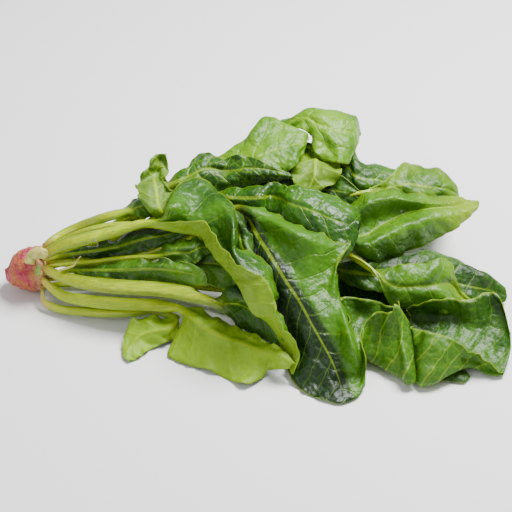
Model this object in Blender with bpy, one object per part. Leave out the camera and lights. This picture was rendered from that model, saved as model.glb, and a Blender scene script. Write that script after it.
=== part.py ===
"""Bunch of spinach lying on a table: a pink root crown with its leaves, each leaf one piece with its stalk.

Lengths below are in millimetres. X runs from the crown to the leaf tips, Y from front to back, Z is up.
"""
import math

import bpy
import numpy as np

MM = 0.001
LEAF_THICKNESS = 0.9
GAP = 0.45                      # air left between one leaf and the next
FLOOR = 0.4                     # lowest height of any leaf before the bunch is set down
STALK_ROWS = 9
BLADE_ROWS = 12
COLUMNS = 7
CROWN_AXIS = (2.0, 14.5)        # Y and Z of the middle of the crown
CROWN_LENGTH = 21.2
STALKS_START = 22.6
NECK = 0.55                     # width of a stalk at the crown, as a share of its full width
NECK_LENGTH = 50.0
LEAN = math.radians(35)
SHARP = math.radians(60)         # edges that fold harder than this are shaded as creases
UP = np.array((0.0, math.sin(LEAN), math.cos(LEAN)))
OUT = np.array((0.0, -math.cos(LEAN), math.sin(LEAN)))   # each leaf lies on earlier ones in this direction
LAY_ROUNDS = 20
SPREAD = (-10.0, 330.0, -120.0, 120.0)      # reach of the pile along X and along UP


# The leaves in the order in which they lie, from the back of the pile to its front.
# slot: where the stalk leaves the crown, along UP and OUT. stalk_size: width and depth.
# columns: places across the blade, -1 and 1 at the margins and 0 at the rib; blade: rows from stalk to tip.
LEAVES = [
    # lies on the table behind the pile
    dict(name="floor_back_leaf", colour="leaf", slot=(-3.5, -11), stalk_size=(4, 3.2),
         cup=0, ruffle=(2, 4),
         columns=(-1, 0, 1),
         stalk=[(49, 12, 9), (84, 28, 6)],
         blade=[
             [(101, 42, 3), (103, 36, 5), (104, 36, 3)],
             [(117, 71, 2), (121, 49, 6), (126, 36, 3)],
             [(143, 89, 2), (149, 59, 7), (156, 42, 3)],
             [(179, 94, 2), (184, 61, 7), (187, 40, 3)],
             [(208, 85, 2), (213, 59, 5), (212, 40, 3)],
             [(232, 65, 2), (234, 59, 2), (232, 53, 2)],
         ]),
    # hangs down behind the pile
    dict(name="back_drape_leaf", colour="leaf", slot=(10.5, -8.5), stalk_size=(4, 3.2),
         cup=0, ruffle=(2.2, 5),
         columns=(-1, 0, 1),
         stalk=[(55, 26, 22), (85, 36, 36)],
         blade=[
             [(98, 34, 41), (98, 36, 38), (98, 38, 35)],
             [(115, 38, 46), (114, 52, 36), (112, 66, 16)],
             [(140, 40, 48), (140, 57, 39), (138, 78, 10)],
             [(165, 43, 46), (166, 60, 37), (164, 82, 5)],
             [(188, 50, 40), (188, 64, 30), (186, 80, 4)],
             [(203, 62, 28), (204, 67, 22), (202, 74, 12)],
         ]),
    # lowest leaf on the right, only its tip shows
    dict(name="floor_front_leaf", colour="dark_leaf", slot=(-10.5, -6), stalk_size=(4, 3.2),
         cup=0, ruffle=(1.2, 4),
         columns=(-1, 0, 1),
         stalk=[(62, 0, 4), (117, -16, 4), (164, -36, 4)],
         blade=[
             [(184, -27, 8), (186, -38, 7), (187, -48, 5)],
             [(199, 3, 14), (202, -23, 9), (202, -63, 3)],
             [(221, 6, 12), (225, -26, 7), (224, -74, 3)],
             [(240, -19, 6), (245, -51, 5), (245, -83, 2)],
             [(267, -74, 2), (263, -85, 4), (258, -90, 2)],
             [(271, -86, 2), (269, -89, 2), (267, -91, 2)],
         ]),
    # dark, with a bright rim, curled at its left end
    dict(name="far_back_leaf", colour="dark_leaf", slot=(7, -9), stalk_size=(4, 3.2),
         cup=0, ruffle=(2.2, 5),
         columns=(-1, -0.5, 0, 1),
         stalk=[(55, 21, 20), (116, 27, 39), (165, 36, 49)],
         blade=[
             [(185, 57, 50), (184, 53, 54), (185, 43, 56), (185, 39, 54)],
             [(197, 85, 34), (194, 61, 62), (195, 52, 58), (195, 42, 52)],
             [(209, 100, 26), (207, 62, 64), (205, 49, 58), (204, 34, 50)],
             [(218, 94, 22), (214, 52, 58), (212, 38, 56), (211, 31, 46)],
             [(230, 92, 22), (224, 55, 56), (223, 39, 54), (222, 32, 44)],
             [(239, 81, 24), (234, 55, 52), (233, 41, 50), (232, 35, 42)],
             [(245, 57, 34), (244, 52, 46), (243, 44, 45), (242, 40, 42)],
             [(248, 45, 42), (248, 45, 43), (247, 44, 43), (247, 43, 43)],
         ]),
    # yellow-green and crumpled, behind the long pointed leaf
    dict(name="right_back_leaf", colour="light_leaf", slot=(3.5, -11.5), stalk_size=(4, 3.2),
         cup=0, ruffle=(3, 6),
         columns=(-1, -0.5, 0, 1),
         stalk=[(55, 18, 16), (116, 21, 33), (177, 29, 43)],
         blade=[
             [(218, 34, 50), (218, 34, 50), (218, 33, 49), (219, 30, 48)],
             [(230, 39, 54), (231, 40, 55), (232, 35, 51), (232, 28, 45)],
             [(241, 52, 56), (240, 53, 57), (240, 36, 53), (242, 29, 42)],
             [(256, 86, 24), (252, 57, 52), (252, 38, 50), (254, 29, 40)],
             [(268, 82, 22), (264, 54, 50), (264, 40, 47), (265, 34, 38)],
             [(274, 67, 24), (273, 50, 44), (272, 41, 43), (272, 38, 38)],
             [(276, 49, 34), (275, 45, 38), (275, 42, 38), (275, 41, 37)],
         ]),
    # dark leaf down inside the pile
    dict(name="inner_back_leaf", colour="dark_leaf", slot=(0, -11.5), stalk_size=(4, 3.2),
         cup=0, ruffle=(2, 4),
         columns=(-1, 0, 1),
         stalk=[(49, 14, 14), (86, 18, 30)],
         blade=[
             [(108, 29, 46), (109, 26, 46), (110, 24, 45)],
             [(123, 38, 54), (126, 28, 50), (130, 21, 44)],
             [(143, 40, 59), (148, 29, 53), (152, 21, 44)],
             [(166, 42, 62), (172, 30, 54), (177, 22, 42)],
             [(188, 42, 62), (192, 31, 52), (196, 23, 41)],
             [(204, 35, 58), (207, 30, 50), (208, 25, 43)],
             [(214, 30, 50), (215, 29, 48), (215, 28, 47)],
         ]),
    # light underside, hanging under the arched leaf
    dict(name="tucked_leaf", colour="pale_leaf", slot=(3.5, -7.5), stalk_size=(4, 3.2),
         cup=0, ruffle=(1.5, 4),
         columns=(-1, 0, 1),
         stalk=[(49, 13, 20), (98, 23, 42), (146, 50, 58)],
         blade=[
             [(172, 71, 63), (178, 69, 63), (184, 68, 62)],
             [(175, 62, 61), (186, 62, 59), (197, 64, 60)],
             [(173, 49, 60), (186, 50, 57), (201, 47, 58)],
             [(171, 37, 58), (185, 40, 55), (201, 39, 57)],
             [(173, 29, 54), (181, 30, 52), (190, 29, 53)],
             [(176, 25, 50), (178, 24, 50), (181, 25, 50)],
         ]),
    # arched over the top of the pile, light green
    dict(name="top_back_leaf", colour="light_leaf", slot=(7, -4.5), stalk_size=(4, 3.2),
         cup=0, ruffle=(3, 6),
         columns=(-1, -0.45, 0, 1),
         stalk=[(56, 13, 25), (104, 33, 50)],
         blade=[
             [(151, 64, 65), (152, 63, 65), (154, 62, 65), (155, 60, 64)],
             [(163, 83, 66), (165, 76, 70), (167, 73, 71), (169, 69, 70)],
             [(175, 94, 66), (177, 80, 78), (179, 72, 79), (182, 64, 73)],
             [(187, 109, 52), (188, 79, 81), (188, 65, 78), (188, 51, 65)],
             [(200, 110, 50), (199, 79, 80), (199, 61, 76), (198, 42, 64)],
             [(210, 100, 56), (209, 79, 76), (209, 64, 73), (207, 43, 65)],
             [(215, 91, 60), (214, 81, 70), (213, 72, 69), (212, 62, 67)],
             [(215, 74, 64), (215, 75, 65), (214, 72, 65), (214, 72, 64)],
         ]),
    # light green, peaked, near the top
    dict(name="peaked_leaf", colour="light_leaf", slot=(10.5, -5), stalk_size=(4, 3.2),
         cup=0, ruffle=(1.5, 4),
         columns=(-1, -0.5, 0, 1),
         stalk=[(56, 15, 30), (98, 28, 50)],
         blade=[
             [(125, 50, 63), (125, 47, 64), (126, 45, 64), (128, 42, 63)],
             [(136, 51, 68), (136, 49, 70), (139, 39, 68), (143, 33, 65)],
             [(148, 60, 72), (147, 56, 76), (151, 37, 72), (155, 30, 66)],
             [(157, 71, 75), (157, 67, 81), (161, 41, 74), (165, 29, 66)],
             [(168, 66, 73), (168, 63, 78), (171, 46, 74), (172, 32, 67)],
             [(179, 62, 72), (179, 59, 76), (178, 50, 74), (177, 40, 69)],
             [(182, 60, 69), (182, 62, 70), (181, 57, 70), (180, 52, 69)],
         ]),
    # dark with a net of pale veins
    dict(name="veined_leaf", colour="dark_leaf", slot=(10.5, -1.5), stalk_size=(4, 3.2),
         cup=0.08, ruffle=(1.5, 4),
         columns=(-1, 0, 1),
         stalk=[(56, 11, 34), (80, 18, 46)],
         blade=[
             [(97, 38, 52), (98, 34, 52), (99, 32, 51)],
             [(107, 44, 58), (109, 38, 56), (111, 33, 52)],
             [(117, 52, 64), (120, 41, 60), (123, 30, 52)],
             [(129, 48, 64), (133, 39, 60), (138, 29, 53)],
             [(144, 46, 66), (148, 40, 61), (151, 31, 55)],
             [(157, 42, 62), (160, 39, 60), (163, 34, 56)],
             [(169, 38, 59), (171, 36, 59), (172, 34, 58)],
         ]),
    # behind on the right, its pale underside curling up
    dict(name="low_back_leaf", colour="pale_leaf", slot=(-7, -7), stalk_size=(4, 3.2),
         cup=0, ruffle=(2.5, 6),
         columns=(-1, -0.5, 0, 1),
         stalk=[(56, 5, 9), (116, 0, 15), (170, -5, 21)],
         blade=[
             [(199, -4, 22), (199, -8, 25), (198, -14, 25), (198, -20, 23)],
             [(212, 10, 12), (212, -9, 29), (212, -21, 27), (213, -29, 21)],
             [(229, 21, 6), (227, -7, 30), (229, -20, 26), (231, -30, 20)],
             [(244, 31, 2), (241, -6, 30), (243, -18, 24), (244, -28, 16)],
             [(261, 31, 2), (256, 0, 28), (259, -16, 20), (261, -28, 10)],
             [(275, 19, 2), (273, -2, 22), (274, -15, 14), (275, -26, 6)],
             [(291, 4, 2), (289, -7, 16), (290, -13, 9), (289, -22, 3)],
             [(299, -6, 2), (299, -10, 9), (300, -13, 6), (299, -16, 3)],
         ]),
    # long and pointed, its two halves bulging up beside the rib
    dict(name="pointed_leaf", colour="leaf", slot=(-3.5, -7), stalk_size=(4, 3.2),
         cup=0, ruffle=(1, 5),
         columns=(-1, -0.5, 0, 0.5, 1),
         stalk=[(56, 8, 13), (104, 8, 31), (158, 5, 39)],
         blade=[
             [(196, 7, 42), (197, 2, 43), (199, 1, 42), (199, -5, 43), (201, -8, 42)],
             [(208, 29, 44), (208, 11, 48), (209, -2, 40), (209, -17, 46), (213, -13, 32)],
             [(222, 34, 48), (223, 17, 52), (225, 8, 42), (227, -10, 48), (230, -10, 31)],
             [(236, 37, 48), (237, 20, 52), (240, 16, 45), (243, 2, 48), (245, -1, 31)],
             [(253, 33, 46), (254, 23, 48), (256, 20, 46), (258, 9, 47), (262, 8, 34)],
             [(270, 37, 43), (271, 30, 44), (271, 26, 43), (273, 19, 43), (274, 16, 38)],
             [(286, 37, 40), (286, 35, 40), (286, 33, 40), (285, 30, 40), (284, 29, 39)],
         ]),
    # bright, with a dark stem end
    dict(name="middle_right_leaf", colour="leaf", slot=(-10.5, -1), stalk_size=(4, 3.2),
         cup=0.12, ruffle=(1.5, 4),
         columns=(-1, 0, 1),
         stalk=[(56, -1, 7), (129, -3, 23), (182, -8, 38), (205, -16, 38)],
         blade=[
             [(219, -27, 34), (220, -31, 34), (221, -35, 33)],
             [(230, -26, 36), (229, -37, 30), (227, -41, 20)],
             [(242, -26, 38), (242, -38, 30), (241, -42, 17)],
             [(253, -23, 38), (254, -35, 29), (256, -43, 15)],
             [(263, -17, 34), (264, -28, 24), (267, -39, 12)],
             [(268, -26, 20), (272, -30, 15), (275, -35, 10)],
             [(282, -29, 11), (282, -31, 11), (282, -32, 10)],
         ]),
    # broad, glossy, with water drops, a fold across its left end
    dict(name="wet_leaf", colour="leaf", slot=(7, -1), stalk_size=(4, 3.2),
         cup=0.06, ruffle=(1.2, 4),
         columns=(-1, 0, 1),
         stalk=[(57, 6, 29), (93, 13, 42)],
         blade=[
             [(125, 21, 56), (126, 15, 57), (127, 13, 56)],
             [(138, 20, 60), (139, 10, 60), (141, 7, 54)],
             [(151, 17, 64), (152, 7, 62), (154, 6, 52)],
             [(162, 21, 64), (160, 15, 58), (157, 6, 48)],
             [(170, 12, 66), (170, -1, 63), (171, -8, 48)],
             [(182, 11, 66), (184, -8, 62), (186, -20, 46)],
             [(197, 7, 62), (198, -13, 58), (196, -27, 44)],
             [(210, 6, 56), (209, -12, 53), (203, -29, 44)],
             [(212, 4, 54), (210, -11, 51), (206, -24, 46)],
         ]),
    # folded up along its rib like a trough, at the far right
    dict(name="right_trough_leaf", colour="leaf", slot=(-7, -3), stalk_size=(4, 3.2),
         cup=0, ruffle=(2, 5),
         columns=(-1, -0.5, 0, 0.5, 1),
         stalk=[(56, 0, 12), (129, -15, 11), (193, -34, 20)],
         blade=[
             [(237, -38, 4), (237, -40, 4), (237, -46, 3), (238, -43, 4), (238, -42, 5)],
             [(244, -38, 18), (244, -43, 7), (240, -85, 2), (241, -74, 10), (242, -64, 19)],
             [(252, -43, 24), (253, -47, 8), (243, -93, 2), (244, -83, 13), (248, -76, 26)],
             [(265, -44, 25), (267, -52, 8), (256, -84, 2), (259, -79, 12), (262, -78, 22)],
             [(278, -42, 25), (280, -56, 9), (269, -78, 3), (271, -78, 9), (273, -82, 16)],
             [(288, -36, 26), (291, -52, 11), (279, -80, 3), (281, -80, 6), (282, -83, 9)],
             [(294, -47, 20), (295, -61, 9), (285, -85, 2), (287, -85, 3), (287, -87, 5)],
             [(296, -59, 12), (295, -70, 7), (290, -84, 3), (290, -84, 3), (290, -85, 4)],
         ]),
    # folded along its rib, its near half standing up
    dict(name="front_trough_leaf", colour="leaf", slot=(-3.5, -3), stalk_size=(4, 3.2),
         cup=0, ruffle=(1.5, 5),
         columns=(-1, -0.5, 0, 0.5, 1),
         stalk=[(56, 3, 15), (129, -13, 17), (175, -44, 28)],
         blade=[
             [(197, -49, 24), (198, -51, 23), (199, -56, 22), (200, -56, 25), (200, -55, 26)],
             [(204, -40, 24), (207, -46, 13), (211, -68, 4), (209, -73, 14), (208, -75, 21)],
             [(217, -40, 22), (220, -48, 9), (219, -74, 2), (216, -68, 16), (215, -63, 28)],
             [(229, -44, 20), (230, -51, 7), (229, -84, 2), (227, -71, 17), (225, -64, 31)],
             [(233, -52, 24), (233, -56, 12), (238, -92, 2), (237, -76, 16), (234, -62, 29)],
             [(233, -57, 22), (234, -61, 12), (239, -90, 2), (239, -76, 12), (237, -61, 22)],
         ]),
    # the largest, hanging over the front of the pile to the table
    dict(name="front_leaf", colour="leaf", slot=(3, -3), stalk_size=(7, 4.5),
         cup=0, ruffle=(1.2, 5),
         columns=(-1, -0.8, -0.5, 0, 1),
         stalk=[(42, -2, 22), (63, -9, 27), (82, -10, 33), (99, -9, 40),
                (117, -2, 46), (130, 3, 50)],
         blade=[
             [(141, 9, 54), (141, 8, 55), (139, 7, 55), (138, 6, 54), (137, 6, 52)],
             [(162, 6, 50), (159, -3, 58), (156, -9, 57), (150, -16, 52), (143, -11, 44)],
             [(183, -5, 46), (179, -15, 56), (172, -21, 54), (159, -35, 48), (151, -31, 30)],
             [(198, -11, 42), (193, -19, 52), (184, -33, 48), (168, -49, 40), (157, -49, 18)],
             [(205, -11, 40), (201, -15, 47), (189, -45, 40), (176, -59, 32), (163, -66, 9)],
             [(195, -29, 41), (196, -33, 38), (192, -61, 32), (183, -71, 24), (168, -81, 4)],
             [(197, -45, 31), (198, -57, 26), (200, -73, 21), (190, -81, 16), (171, -91, 2)],
             [(206, -67, 18), (208, -74, 15), (206, -83, 12), (195, -90, 9), (177, -100, 2)],
             [(212, -80, 8), (212, -87, 6), (209, -94, 6), (198, -100, 4), (186, -105, 2)],
             [(211, -95, 3), (209, -100, 3), (206, -104, 2), (200, -108, 2), (194, -109, 2)],
         ]),
    # dark, its rolled back catching the light
    dict(name="rolled_leaf", colour="dark_leaf", slot=(-7, 1), stalk_size=(4, 3.2),
         cup=0.1, ruffle=(1, 4),
         columns=(-1, 0, 1),
         stalk=[(56, -3, 15), (111, -1, 37)],
         blade=[
             [(138, 4, 54), (135, 7, 54), (133, 9, 52)],
             [(144, -8, 54), (138, -8, 56), (131, -5, 50)],
             [(148, -21, 50), (141, -20, 52), (132, -15, 44)],
             [(151, -33, 45), (144, -31, 47), (136, -25, 38)],
             [(155, -45, 40), (149, -43, 41), (143, -37, 34)],
             [(153, -56, 35), (152, -55, 36), (150, -53, 34)],
         ]),
    # mid green, down between the stalks
    dict(name="short_dark_leaf", colour="leaf", slot=(-10.5, 3), stalk_size=(4, 3.2),
         cup=0.1, ruffle=(2, 4),
         columns=(-1, 0, 1),
         stalk=[(45, -9, 13), (75, -13, 23)],
         blade=[
             [(101, -19, 34), (102, -22, 34), (102, -25, 33)],
             [(115, -11, 40), (118, -26, 38), (119, -38, 32)],
             [(129, -10, 42), (132, -30, 39), (134, -45, 33)],
             [(142, -26, 39), (144, -38, 37), (145, -49, 33)],
             [(153, -42, 35), (154, -46, 34), (155, -49, 33)],
         ]),
    # young, dark and folded, between the upper stalks
    dict(name="young_upper_leaf", colour="dark_leaf", slot=(4, 1), stalk_size=(3, 3),
         cup=0, ruffle=(1.6, 5),
         columns=(-1, 0, 1),
         stalk=[],
         blade=[
             [(33, 5, 23), (34, 3, 23), (35, 2, 22)],
             [(47, 8, 26), (49, 0, 28), (50, -2, 25)],
             [(62, 10, 30), (65, -3, 33), (66, -6, 29)],
             [(80, 13, 35), (82, -2, 38), (84, -8, 34)],
             [(97, 10, 40), (99, -2, 42), (100, -6, 39)],
             [(112, 5, 44), (113, 2, 44), (114, 0, 43)],
         ]),
    # young and light green, between the stalks
    dict(name="young_light_leaf", colour="light_leaf", slot=(1, 0), stalk_size=(3, 3),
         cup=0.1, ruffle=(1.2, 4),
         columns=(-1, 0, 1),
         stalk=[(51, -8, 26), (76, -13, 33)],
         blade=[
             [(91, -15, 37), (92, -19, 38), (93, -20, 37)],
             [(98, -12, 42), (101, -21, 42), (104, -26, 38)],
             [(109, -11, 44), (111, -22, 43), (113, -28, 38)],
             [(119, -11, 44), (120, -17, 43), (121, -21, 40)],
             [(124, -16, 42), (125, -18, 42), (125, -19, 41)],
         ]),
    # young, crumpled, between the lower stalks
    dict(name="young_lower_leaf", colour="leaf", slot=(-3.5, 2), stalk_size=(3, 3),
         cup=0, ruffle=(2.6, 6),
         columns=(-1, 0, 1),
         stalk=[],
         blade=[
             [(39, -6, 20), (40, -8, 20), (40, -9, 19)],
             [(54, -9, 24), (56, -14, 25), (57, -18, 23)],
             [(70, -10, 28), (72, -20, 29), (74, -24, 25)],
             [(88, -15, 33), (90, -23, 32), (92, -28, 27)],
             [(107, -20, 35), (109, -28, 33), (111, -34, 28)],
             [(121, -28, 33), (122, -32, 32), (122, -38, 31)],
         ]),
    # dark green, behind the lower front stalk
    dict(name="middle_front_leaf", colour="leaf", slot=(0.5, 9), stalk_size=(8.5, 4.5),
         cup=0.08, ruffle=(1.5, 4),
         columns=(-1, 0, 1),
         stalk=[(34, -12, 19), (46, -19, 20), (70, -27, 22), (94, -32, 24), (115, -40, 25)],
         blade=[
             [(126, -44, 26), (128, -48, 26), (129, -51, 23)],
             [(137, -38, 32), (140, -52, 28), (141, -55, 14)],
             [(149, -48, 32), (153, -59, 24), (153, -62, 10)],
             [(159, -58, 25), (161, -64, 19), (163, -68, 10)],
             [(166, -69, 15), (166, -71, 13), (166, -73, 11)],
         ]),
    # short and puckered, on the topmost stalk
    dict(name="small_ribbed_leaf", colour="leaf", slot=(13, -2), stalk_size=(6.5, 4),
         cup=0.1, ruffle=(1.5, 4),
         columns=(-1, 0, 1),
         stalk=[(32, 13, 31), (44, 15, 36), (56, 16, 40), (68, 17, 43)],
         blade=[
             [(73, 25, 43), (75, 20, 43), (76, 18, 42)],
             [(79, 29, 47), (82, 19, 47), (84, 14, 43)],
             [(87, 30, 49), (90, 18, 49), (93, 13, 45)],
             [(97, 30, 50), (100, 20, 50), (102, 14, 47)],
             [(104, 23, 50), (105, 19, 50), (106, 16, 49)],
         ]),
    # stands up at the left of the pile, pale underside out
    dict(name="upright_leaf", colour="pale_leaf", slot=(10, 3), stalk_size=(4, 3.2),
         cup=0, ruffle=(2, 6),
         columns=(-1, 0, 0.3, 1),
         stalk=[(38, 9, 32), (63, 11, 39), (87, 9, 42)],
         blade=[
             [(99, 8, 45), (97, 7, 45), (95, 6, 45), (93, 5, 45)],
             [(101, 16, 50), (93, 13, 50), (91, 12, 51), (86, 11, 51)],
             [(101, 24, 55), (91, 24, 56), (84, 19, 58), (80, 19, 58)],
             [(97, 28, 60), (89, 31, 62), (85, 25, 64), (81, 24, 64)],
             [(98, 32, 64), (91, 32, 69), (88, 29, 70), (86, 29, 70)],
             [(97, 36, 70), (92, 36, 73), (90, 33, 74), (88, 32, 74)],
             [(96, 37, 74), (93, 35, 75), (91, 35, 75), (90, 34, 75)],
         ]),
    # glossy and bulging, its near half folded over along the rib
    dict(name="left_trough_leaf", colour="leaf", slot=(6, 9), stalk_size=(8.5, 4.5),
         cup=0, ruffle=(1, 6),
         columns=(-1, -0.5, 0, 1),
         stalk=[(33, 1, 31), (45, 1, 35), (57, 2, 38), (75, 3, 43), (87, 4, 46)],
         blade=[
             [(95, 9, 45), (95, 6, 46), (95, 5, 43), (95, 3, 47)],
             [(97, 20, 50), (100, 6, 53), (104, 2, 43), (104, -2, 50)],
             [(106, 30, 60), (110, 5, 60), (114, 1, 44), (114, -4, 52)],
             [(120, 22, 62), (123, -2, 62), (121, -7, 44), (123, -14, 55)],
             [(133, 11, 60), (133, -11, 61), (126, -19, 43), (129, -27, 55)],
             [(139, -5, 54), (136, -20, 56), (130, -24, 40), (133, -35, 52)],
             [(137, -22, 49), (136, -33, 51), (134, -30, 37), (139, -43, 50)],
             [(147, -29, 46), (145, -38, 47), (140, -34, 32), (149, -52, 50)],
             [(157, -33, 40), (153, -44, 41), (144, -41, 26), (158, -56, 44)],
             [(162, -45, 34), (157, -50, 35), (149, -47, 21), (162, -62, 36)],
             [(161, -53, 27), (158, -57, 27), (155, -52, 18), (162, -67, 31)],
             [(166, -62, 20), (164, -65, 19), (162, -61, 13), (169, -74, 25)],
             [(169, -68, 13), (168, -69, 12), (164, -67, 8), (174, -77, 18)],
             [(170, -74, 8), (169, -74, 7), (167, -74, 4), (174, -82, 12)],
             [(170, -80, 2), (170, -81, 2), (170, -82, 2), (171, -84, 3)],
         ]),
    # small, at the lower left, underside up on the table
    dict(name="bottom_lobe_leaf", colour="pale_leaf", slot=(-11.5, 4), stalk_size=(5.5, 4),
         cup=0, ruffle=(1.2, 4),
         columns=(-1, 0, 1),
         stalk=[(24, -19, 5), (34, -26, 5), (49, -30, 6), (67, -34, 8),
                (85, -35, 10), (96, -36, 11)],
         blade=[
             [(103, -43, 11), (104, -45, 10), (105, -49, 9)],
             [(96, -42, 11), (99, -50, 9), (103, -53, 4)],
             [(87, -43, 12), (91, -53, 9), (96, -57, 3)],
             [(78, -44, 11), (83, -55, 7), (88, -62, 2)],
             [(74, -52, 6), (78, -60, 4), (83, -68, 2)],
             [(73, -62, 2), (74, -68, 2), (77, -72, 2)],
         ]),
    # broad, at the lower left, underside up on the table
    dict(name="front_low_leaf", colour="pale_leaf", slot=(-6.5, 8), stalk_size=(7.5, 4.5),
         cup=0, ruffle=(1.5, 4),
         columns=(-1, -0.5, 0, 1),
         stalk=[(34, -18, 10), (52, -26, 11), (73, -32, 13), (94, -35, 14)],
         blade=[
             [(109, -45, 12), (109, -44, 14), (109, -43, 16), (108, -39, 16)],
             [(99, -62, 2), (107, -56, 9), (115, -53, 17), (118, -44, 18)],
             [(109, -74, 2), (119, -69, 8), (126, -64, 16), (130, -53, 17)],
             [(125, -81, 2), (133, -77, 7), (140, -70, 14), (144, -62, 16)],
             [(146, -94, 2), (150, -83, 6), (153, -76, 12), (157, -69, 14)],
             [(157, -82, 3), (161, -79, 6), (164, -78, 9), (166, -73, 11)],
             [(168, -79, 3), (169, -79, 4), (170, -78, 5), (172, -78, 6)],
         ]),
]

# Short pieces at the crown: name, path, radius at each point, colour.
SMALL_PIECES = [
    ("cut_stub", [(16, -4, 22), (17, -1, 25), (21, -1, 28), (26, -4, 29)],
     (3.2, 3.8, 3.8, 3.2), "cream"),
    ("green_sprout", [(21, -16, 22), (21, -14, 25), (22, -13, 28)],
     (1.3, 1.5, 0.7), "leaf"),
    ("dry_tendril", [(33, -14, 24), (38, -14, 26), (43, -14, 28), (45, -11, 30), (47, -10, 32)],
     (0.9, 0.8, 0.7, 0.6, 0.5), "cream"),
]

COLOURS = {
    "crown": ((0.55, 0.20, 0.13), 0.6),
    "cream": ((0.62, 0.60, 0.30), 0.5),
    "leaf": ((0.07, 0.20, 0.03), 0.4),
    "dark_leaf": ((0.03, 0.11, 0.02), 0.35),
    "light_leaf": ((0.16, 0.33, 0.05), 0.4),
    "pale_leaf": ((0.27, 0.42, 0.09), 0.45),
}


def smooth_curve(knots, values, at):
    """Curve through the values at the knots, sampled at the given places."""
    knots = np.asarray(knots, float)
    values = np.asarray(values, float)
    span = np.diff(knots)
    slope = np.diff(values, axis=0) / span[:, None]
    tangent = np.empty_like(values)
    tangent[0] = slope[0]
    tangent[-1] = slope[-1]
    weight = (span[1:] + span[:-1])[:, None]
    tangent[1:-1] = (slope[:-1] * span[1:, None] + slope[1:] * span[:-1, None]) / weight
    k = np.clip(np.searchsorted(knots, at, side="right") - 1, 0, len(span) - 1)
    u = ((at - knots[k]) / span[k])[:, None]
    h = span[k][:, None]
    return ((2 * u**3 - 3 * u**2 + 1) * values[k] + (u**3 - 2 * u**2 + u) * h * tangent[k]
            + (3 * u**2 - 2 * u**3) * values[k + 1] + (u**3 - u**2) * h * tangent[k + 1])


def unit(vectors):
    return vectors / np.maximum(np.linalg.norm(vectors, axis=-1, keepdims=True), 1e-9)


def neck(distance):
    """A stalk is thinner where it leaves the crown."""
    return 1 - (1 - NECK) * np.clip(1 - distance / NECK_LENGTH, 0, 1)**2


def leaf_net(spec):
    """Rows of points from the crown to the tip: the stalk's rows, then the blade's."""
    columns = np.array(spec["columns"], float)
    blade = np.array(spec["blade"], float)
    up, out = spec["slot"]
    start = np.array((STALKS_START, *CROWN_AXIS)) + up * UP + out * OUT
    rib = int(np.argmin(abs(columns)))
    centres = np.array([start] + [np.array(p, float) for p in spec["stalk"]])
    line = np.vstack([centres, blade[:1, rib]])
    steps = np.linalg.norm(np.diff(line, axis=0), axis=1)
    along = np.concatenate([[0], np.cumsum(steps)])
    tangent = unit(np.gradient(line, axis=0))
    end_across = unit(blade[0, -1] - blade[0, 0])
    start_across = -UP if end_across @ UP < 0 else UP
    rows = []
    for i, centre in enumerate(centres):
        share = along[i] / along[-1]
        across = (1 - share) * start_across + share * end_across
        across = unit(across - (across @ tangent[i]) * tangent[i])
        half = spec["stalk_size"][0] / 2 * neck(along[i])
        rows.append(centre + np.outer(columns * half, across))
    net = np.concatenate([np.array(rows), blade])
    steps = np.linalg.norm(np.diff(net[:, rib], axis=0), axis=1)
    return columns, net, np.concatenate([[0], np.cumsum(steps)]), len(centres)


def leaf_surface(spec, seed, stalk_rows, blade_rows, column_count):
    """Middle surface of a leaf, with its half thickness above and below."""
    columns, net, along, stalk_count = leaf_net(spec)
    stalk_end = along[stalk_count]
    at = np.concatenate([stalk_end * np.linspace(0, 1, stalk_rows, endpoint=False)**1.5,
                         np.linspace(stalk_end, along[-1], blade_rows)])
    rails = smooth_curve(along, net.reshape(len(net), -1), at).reshape(len(at), len(columns), 3)
    c = np.linspace(-1, 1, column_count)
    v = np.sign(c) * abs(c)**1.5
    rails = rails.transpose(1, 0, 2).reshape(len(columns), -1)
    grid = smooth_curve(columns, rails, v).reshape(column_count, len(at), 3).transpose(1, 0, 2)
    s = np.clip((at - stalk_end) / (along[-1] - stalk_end), 0, 1)[:, None]
    rng = np.random.default_rng(seed)
    phase = rng.uniform(0, 2 * math.pi, 4)
    height, waves = spec["ruffle"]
    side = np.where(v < 0, 0, 1)
    wave = np.sin(2 * math.pi * waves * s + phase[side]) + 0.4 * np.sin(
        2 * math.pi * 1.9 * waves * s + phase[side + 2])
    half = np.linalg.norm(grid[:, -1] - grid[:, 0], axis=1)[:, None] / 2
    lift = height * wave * abs(v)**2.5 * np.sin(math.pi * s)**0.5
    lift = lift + spec["cup"] * half * 4 * abs(v) * (1 - abs(v)) * np.minimum(1, 5 * s)
    grid = grid + top_side(grid) * lift[..., None]
    reach = np.linalg.norm(np.diff(grid, axis=1), axis=2)
    reach = np.concatenate([np.zeros((len(at), 1)), np.cumsum(reach, axis=1)], axis=1)
    reach = abs(reach - reach[:, [column_count // 2]])
    wide, deep = np.outer(spec["stalk_size"], neck(at))[:, :, None]
    rib_half = wide / 2 * (1.03 - 0.85 * s)
    bulge = (deep - LEAF_THICKNESS) / 2 * np.sqrt(np.clip(1 - (reach / rib_half)**2, 0, 1))
    above = LEAF_THICKNESS / 2 + bulge * np.clip(1 - 8 * s, 0, 1)
    below = LEAF_THICKNESS / 2 + bulge * (1 - s)**1.1
    return grid, above, below


def top_side(grid):
    """Directions in which the upper side of a leaf faces."""
    return unit(np.cross(np.gradient(grid, axis=1), np.gradient(grid, axis=0)))


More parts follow.
